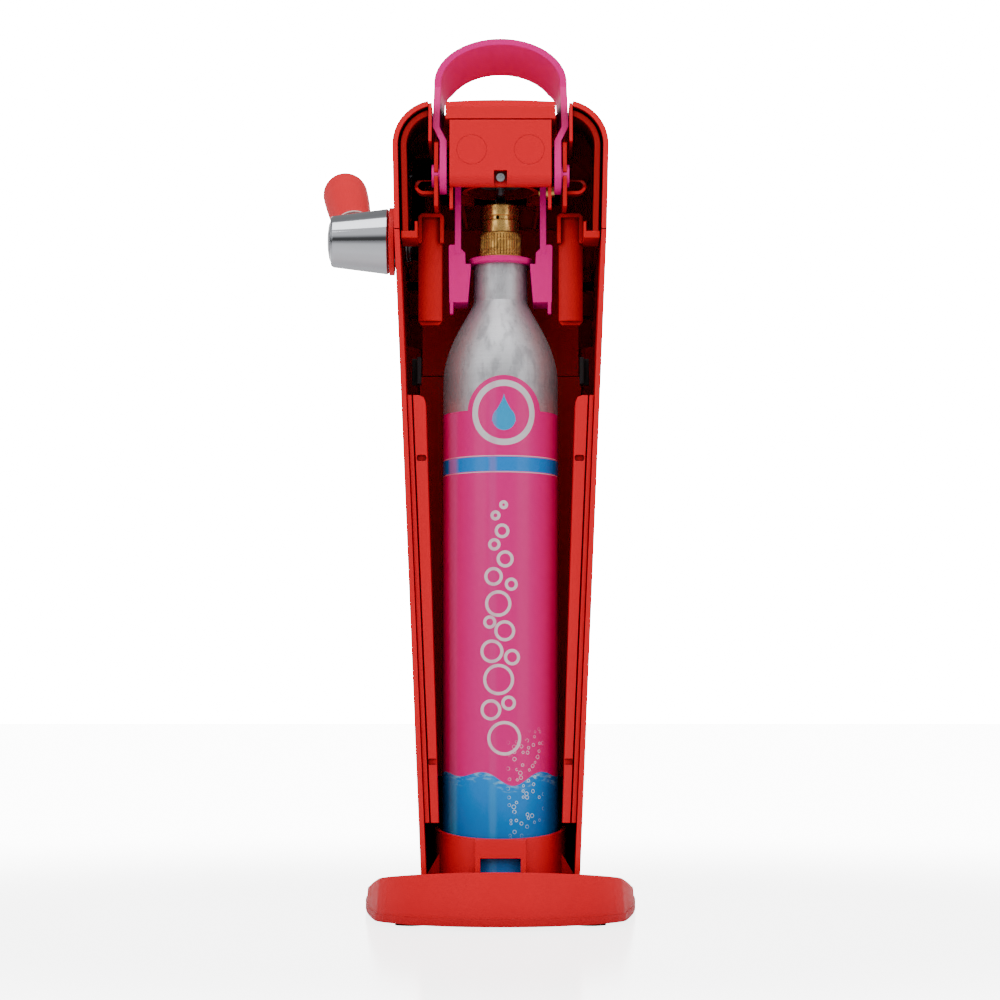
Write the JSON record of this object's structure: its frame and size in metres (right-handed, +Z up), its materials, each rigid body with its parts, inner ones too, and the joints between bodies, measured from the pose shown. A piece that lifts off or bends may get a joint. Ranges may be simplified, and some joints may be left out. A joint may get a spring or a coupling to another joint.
{
  "type": "soda carbonator",
  "caption": "Tall red countertop soda carbonator with its rear cover off: gas cylinder in its bay, raised locking handle, chrome side lever and wide foot.",
  "frame": {"origin": "on the surface it stands on, at the centre of the round pad under the gas cylinder", "axes": "+Z up; -Y towards the bottle side; +Y towards the open rear of the bay; +X to the side with the carbonating lever"},
  "size_m": [0.1737, 0.232, 0.4624],
  "materials": {
    "red_shell": "gloss ABS, moulded red",
    "red_inner": "semi-gloss ABS, moulded red",
    "red_grip": "gloss, polished",
    "pale_plastic": "pale collar, gloss",
    "pink_plastic": "tinted pink polycarbonate, gloss",
    "chrome": "bright chrome plate",
    "aluminium": "brushed and lacquered",
    "printed_sleeve": "gloss printed film",
    "brass": "turned brass",
    "steel": "bright zinc plate",
    "black_rubber": "matt moulded rubber",
    "dark_plastic": "satin moulded dark grey"
  },
  "bodies": {
    "frame": {"chassis": "dark_plastic", "chassis_screws": "steel", "collar_pins": "steel", "column_shell": "red_shell", "cover_clips": "dark_plastic", "cylinder_cup": "red_inner", "foot_plate": "dark_plastic", "foot_screws": "steel", "foot_shell": "red_shell", "gas_hose": "black_rubber", "guide_panel_far_side": "red_inner", "guide_panel_lever_side": "red_inner", "head_cap": "red_shell", "head_liner": "red_inner", "head_shell": "red_shell", "lever_bush": "red_inner", "lever_spring": "steel", "nozzle_head": "dark_plastic", "panel_screw": "steel", "pivot_bracket_far_side": "red_inner", "pivot_bracket_lever_side": "red_inner", "plunger_spring": "steel", "rail_far_side": "red_inner", "rail_lever_side": "red_inner", "rail_trim_far_side": "red_inner", "rail_trim_lever_side": "red_inner", "rear_panel": "red_inner", "relief_valve": "brass", "rocker_pin": "steel", "rubber_feet": "black_rubber", "seat_seal": "black_rubber", "shelf_ribs": "red_inner", "spine_lower": "red_inner", "spine_upper": "red_inner", "valve_seat": "red_inner"},
    "lock_handle": {"lock_handle": "pink_plastic"},
    "carriage": {"yoke_rods": "pink_plastic", "yoke_bridge": "pink_plastic", "yoke_hook_lever_side": "pink_plastic", "yoke_hook_far_side": "pink_plastic"},
    "co2_cylinder": {"cylinder_body": "aluminium", "label_sleeve": "printed_sleeve", "neck_ring": "pink_plastic", "valve_collar": "brass", "valve_body": "brass"},
    "valve_pin": {"valve_pin": "steel"},
    "lever": {"lever_shaft": "steel", "lever_hub": "chrome", "hub_cap": "chrome", "lever_grip": "red_grip", "grip_collar": "pale_plastic", "lever_cam": "dark_plastic"},
    "rocker": {"rocker": "dark_plastic"},
    "plunger": {"plunger": "steel"},
    "bottle_holder": {"bottle_collar": "dark_plastic", "nozzle_seal": "black_rubber", "nozzle_tube": "dark_plastic"},
    "drip_tray": {"drip_tray": "dark_plastic", "drip_grille": "dark_plastic"}
  },
  "joints": [
    {"name": "handle_hinge", "type": "hinge", "parent": "frame", "child": "lock_handle", "pos_m": [0, 0.00877, 0.38771], "axis": [-1, 0, 0], "range_deg": [0, 180]},
    {"name": "carriage_lift", "type": "slide", "parent": "frame", "child": "carriage", "axis": [0, -0.0419, 0.9991], "range_m": [0, 0.008]},
    {"name": "cylinder_tilt", "type": "hinge", "parent": "carriage", "child": "co2_cylinder", "pos_m": [0, 0.02909, 0.04626], "axis": [-1, 0, 0], "range_deg": [0, 35]},
    {"name": "valve_pin_slide", "type": "slide", "parent": "co2_cylinder", "child": "valve_pin", "axis": [0, -0.0419, 0.9991], "range_m": [-0.003, 0]},
    {"name": "carbonating_lever", "type": "hinge", "parent": "frame", "child": "lever", "pos_m": [0, -0.04717, 0.36134], "axis": [1, 0, 0], "range_deg": [0, 70], "stiffness_Nm_per_rad": 0.35, "springref_deg": -20.05},
    {"name": "rocker_pivot", "type": "hinge", "parent": "frame", "child": "rocker", "pos_m": [0, -0.07893, 0.40255], "axis": [1, 0, 0], "range_deg": [-3.5, 0]},
    {"name": "plunger_slide", "type": "slide", "parent": "frame", "child": "plunger", "axis": [0, -0.0419, 0.9991], "range_m": [-0.0035, 0], "deforming": ["plunger_spring"]},
    {"name": "bottle_holder_tip", "type": "hinge", "parent": "frame", "child": "bottle_holder", "pos_m": [0, -0.10408, 0.33393], "axis": [-1, 0, 0], "range_deg": [0, 15]},
    {"name": "drip_tray_lift", "type": "slide", "parent": "frame", "child": "drip_tray", "axis": [0, 0, 1], "range_m": [0, 0.04]}
  ],
  "couplings": [
    {"joint": "handle_hinge", "follows": "carriage_lift", "rad_per_m": 392.7},
    {"joint": "valve_pin_slide", "follows": "carbonating_lever", "m_per_rad": -0.0022918},
    {"joint": "rocker_pivot", "follows": "carbonating_lever", "ratio": -0.042857},
    {"joint": "plunger_slide", "follows": "carbonating_lever", "m_per_rad": -0.0027011}
  ]
}
